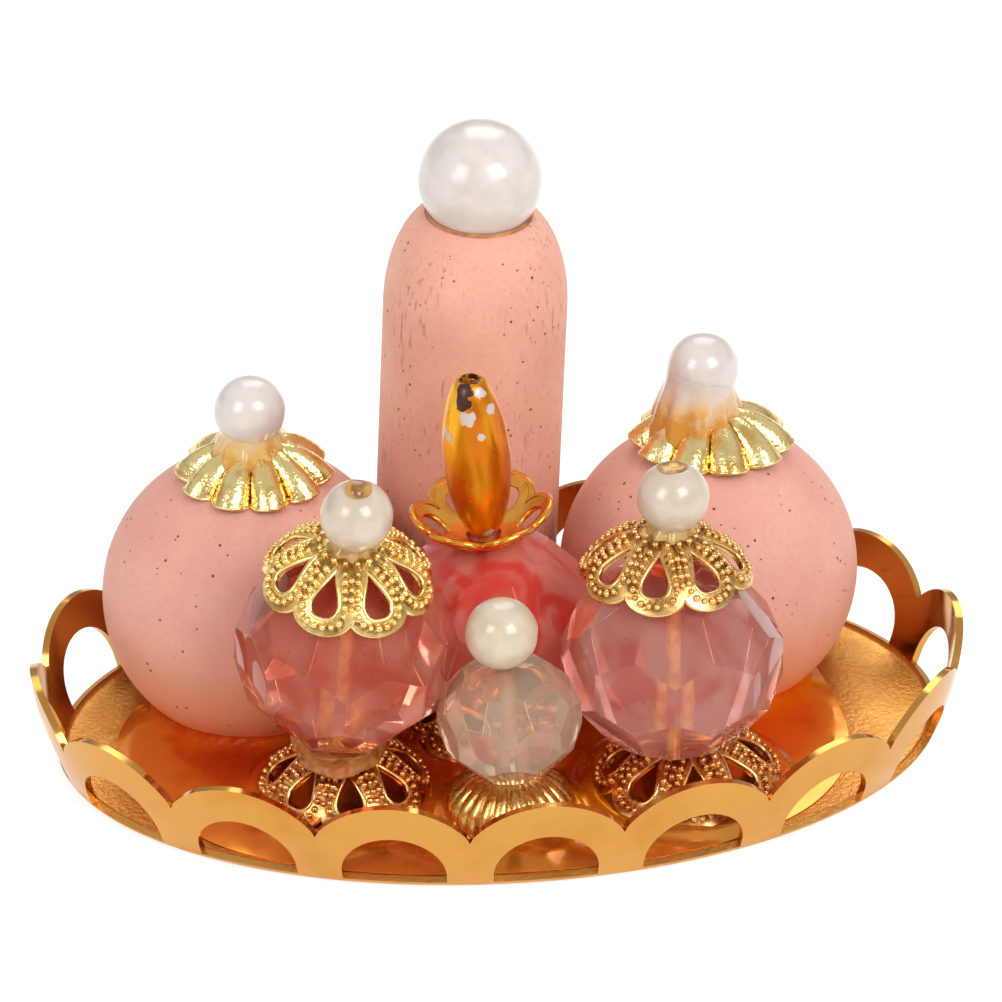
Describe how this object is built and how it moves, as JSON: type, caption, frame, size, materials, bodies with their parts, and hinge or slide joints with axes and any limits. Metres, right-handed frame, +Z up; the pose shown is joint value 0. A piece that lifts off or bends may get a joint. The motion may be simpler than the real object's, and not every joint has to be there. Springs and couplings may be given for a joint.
{
  "type": "dolls house perfume tray",
  "caption": "Dolls house dressing-table tray: an oval gilt tray with an arched gallery, holding scent bottles made of painted wooden balls, faceted glass beads, gilt caps and pearls.",
  "frame": {"origin": "middle of the tray's flat underside", "axes": "+X along the tray's length, to the right seen from its front; +Y towards its back, where the tall bottle stands; +Z up"},
  "size_m": [0.0268, 0.0178, 0.0168],
  "materials": {
    "tray_gold": "polished gilt, satin where it is bare inside",
    "shell_gold": "bright champagne gilt",
    "pale_gold": "bright gilt with fine beading",
    "antique_gold": "antique gilt with fine beading",
    "dark_gold": "gilt darkened by the glue over it",
    "orange_gold": "warm polished gilt",
    "pin_gold": "polished wire",
    "painted_wood": "matt pink paint with fine dark specks",
    "pearl": "pearl lustre",
    "amber_pearl": "pearl coated, chipped near its top",
    "rose_glass": "clear faceted",
    "mauve_glass": "clear faceted",
    "coral_glass": "milky faceted",
    "clear_glass": "clear faceted",
    "amber_glue": "clear glossy glue over gilt",
    "clear_glue": "cloudy amber glue"
  },
  "bodies": {
    "root": {"tray": "tray_gold", "glue_pool": "amber_glue", "left_ball_body": "painted_wood", "left_ball_cap": "shell_gold", "left_ball_pearl": "pearl", "left_ball_pearl_glue": "clear_glue", "right_ball_body": "painted_wood", "right_ball_cap": "shell_gold", "right_ball_pearl": "pearl", "right_ball_pearl_glue": "clear_glue", "tall_bottle_body": "painted_wood", "tall_bottle_pearl": "pearl", "tall_bottle_pearl_glue": "clear_glue", "middle_foot_cap": "dark_gold", "middle_bead": "coral_glass", "middle_flower_cup": "orange_gold", "middle_stopper": "amber_pearl", "middle_pin": "pin_gold", "front_left_foot_cap": "dark_gold", "front_left_bead": "rose_glass", "front_left_top_cap": "pale_gold", "front_left_pearl": "pearl", "front_left_pin": "pin_gold", "front_left_collar_glue": "clear_glue", "front_right_foot_cap": "dark_gold", "front_right_bead": "mauve_glass", "front_right_top_cap": "antique_gold", "front_right_pearl": "pearl", "front_right_pin": "pin_gold", "front_centre_foot_cap": "shell_gold", "front_centre_bead": "clear_glass", "front_centre_pearl": "pearl", "front_centre_pin": "pin_gold"}
  },
  "joints": []
}
